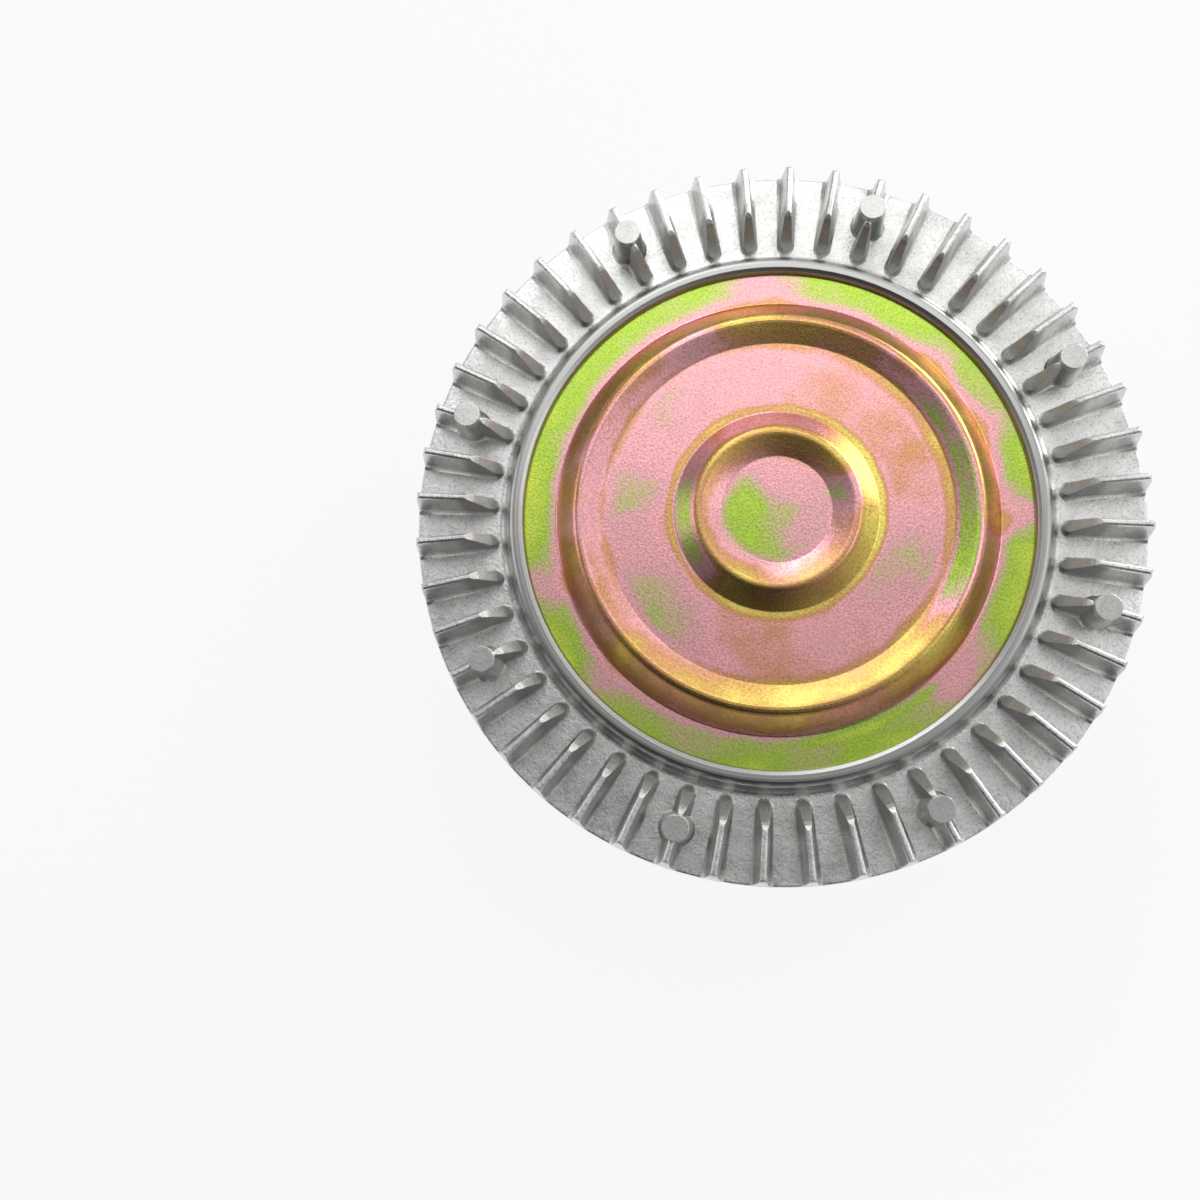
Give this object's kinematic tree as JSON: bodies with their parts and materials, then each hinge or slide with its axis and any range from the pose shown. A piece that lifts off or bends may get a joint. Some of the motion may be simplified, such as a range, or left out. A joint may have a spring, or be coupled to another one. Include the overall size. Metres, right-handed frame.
{
  "type": "viscous fan clutch",
  "caption": "Finned viscous fan clutch with a slotted input flange, a rotor in fluid lands, a sealed ball bearing and a beaded cover under a rolled lip.",
  "frame": {"origin": "centre of the input flange's mounting face, which the clutch stands on", "axes": "+Z along the clutch axis from the pump side to the cover side; the flange slots and fan pads lie on X and Y"},
  "size_m": [0.194, 0.194, 0.0867],
  "materials": {
    "shaft_steel": "dark forged steel with a satin turned flange",
    "bearing_steel": "ground bearing steel",
    "rotor_aluminium": "turned aluminium",
    "cast_aluminium": "bright die-cast aluminium with machined faces",
    "yellow_zinc": "steel sheet plated in iridescent yellow zinc",
    "seal_rubber": "black rubber",
    "blue_rubber": "dark blue rubber",
    "spring_steel": "dark spring steel",
    "cage_nylon": "natural nylon",
    "ball_steel": "polished bearing steel"
  },
  "bodies": {
    "input": {"input_shaft": "shaft_steel", "bearing_inner_race": "bearing_steel", "rotor": "rotor_aluminium"},
    "output": {"housing": "cast_aluminium", "front_cover": "yellow_zinc", "cover_seal": "seal_rubber", "bearing_outer_race": "bearing_steel", "bearing_seal_rear": "blue_rubber", "bearing_seal_front": "blue_rubber", "bearing_retaining_ring": "spring_steel"},
    "ball_set": {"bearing_cage": "cage_nylon", "ball_1": "ball_steel", "ball_2": "ball_steel", "ball_3": "ball_steel", "ball_4": "ball_steel", "ball_5": "ball_steel", "ball_6": "ball_steel", "ball_7": "ball_steel", "ball_8": "ball_steel", "ball_9": "ball_steel"}
  },
  "joints": [
    {"name": "housing_spin", "type": "hinge", "parent": "input", "child": "output", "pos_m": [0, 0, 0.053], "axis": [0, 0, 1], "continuous": true},
    {"name": "cage_spin", "type": "hinge", "parent": "input", "child": "ball_set", "pos_m": [0, 0, 0.053], "axis": [0, 0, 1], "continuous": true}
  ],
  "couplings": [
    {"joint": "cage_spin", "follows": "housing_spin", "ratio": 0.60242}
  ]
}
